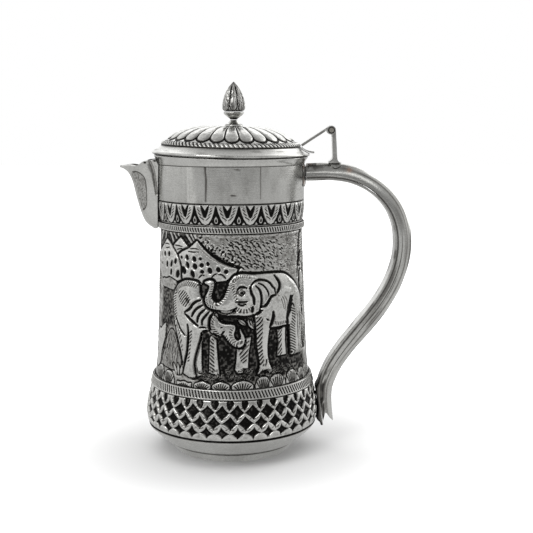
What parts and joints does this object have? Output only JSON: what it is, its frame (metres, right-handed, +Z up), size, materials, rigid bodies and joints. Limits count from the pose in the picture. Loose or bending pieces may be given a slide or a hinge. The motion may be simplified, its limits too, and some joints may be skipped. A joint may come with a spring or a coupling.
{
  "type": "covered silver water jug",
  "caption": "Tall covered silver water jug with a chased drum body, beak spout, hollow strap handle and a domed lid on a raised pin hinge.",
  "frame": {"origin": "centre of the flat underside of the foot, on the body's axis", "axes": "+Z up along the body, +X towards the handle, the spout points to -X, +Y across the jug"},
  "size_m": [0.1943, 0.1164, 0.2455],
  "materials": {
    "polished_silver": "hand polished silver plate with soft scratches",
    "satin_silver": "satin silver",
    "chased_silver": "chased silver, bright high points over blackened recesses",
    "dull_metal": "dull hinge and screw metal"
  },
  "bodies": {
    "jug": {"base_plate": "satin_silver", "foot_ring": "satin_silver", "base_bowl": "satin_silver", "lattice_skirt": "chased_silver", "skirt_border_wire": "chased_silver", "scene_drum": "chased_silver", "drum_border_wire": "chased_silver", "leaf_band": "chased_silver", "collar": "polished_silver", "mouth_rim": "polished_silver", "spout": "polished_silver", "handle_shell": "polished_silver", "handle_inner_strip": "polished_silver", "handle_saddle": "satin_silver", "hinge_post": "satin_silver", "hinge_pin": "dull_metal"},
    "lid": {"lid_flange": "polished_silver", "lid_bezel": "polished_silver", "lid_rope_border": "chased_silver", "lid_dome": "chased_silver", "lid_arm": "satin_silver", "lid_bracket": "polished_silver", "finial_base": "polished_silver", "finial_cup": "polished_silver", "finial_bud": "chased_silver", "finial_stud": "dull_metal", "finial_washer": "dull_metal", "finial_nut": "dull_metal"}
  },
  "joints": [
    {"name": "lid_hinge", "type": "hinge", "parent": "jug", "child": "lid", "pos_m": [0.066, 0, 0.214], "axis": [0, 1, 0], "range_deg": [0, 105]}
  ]
}
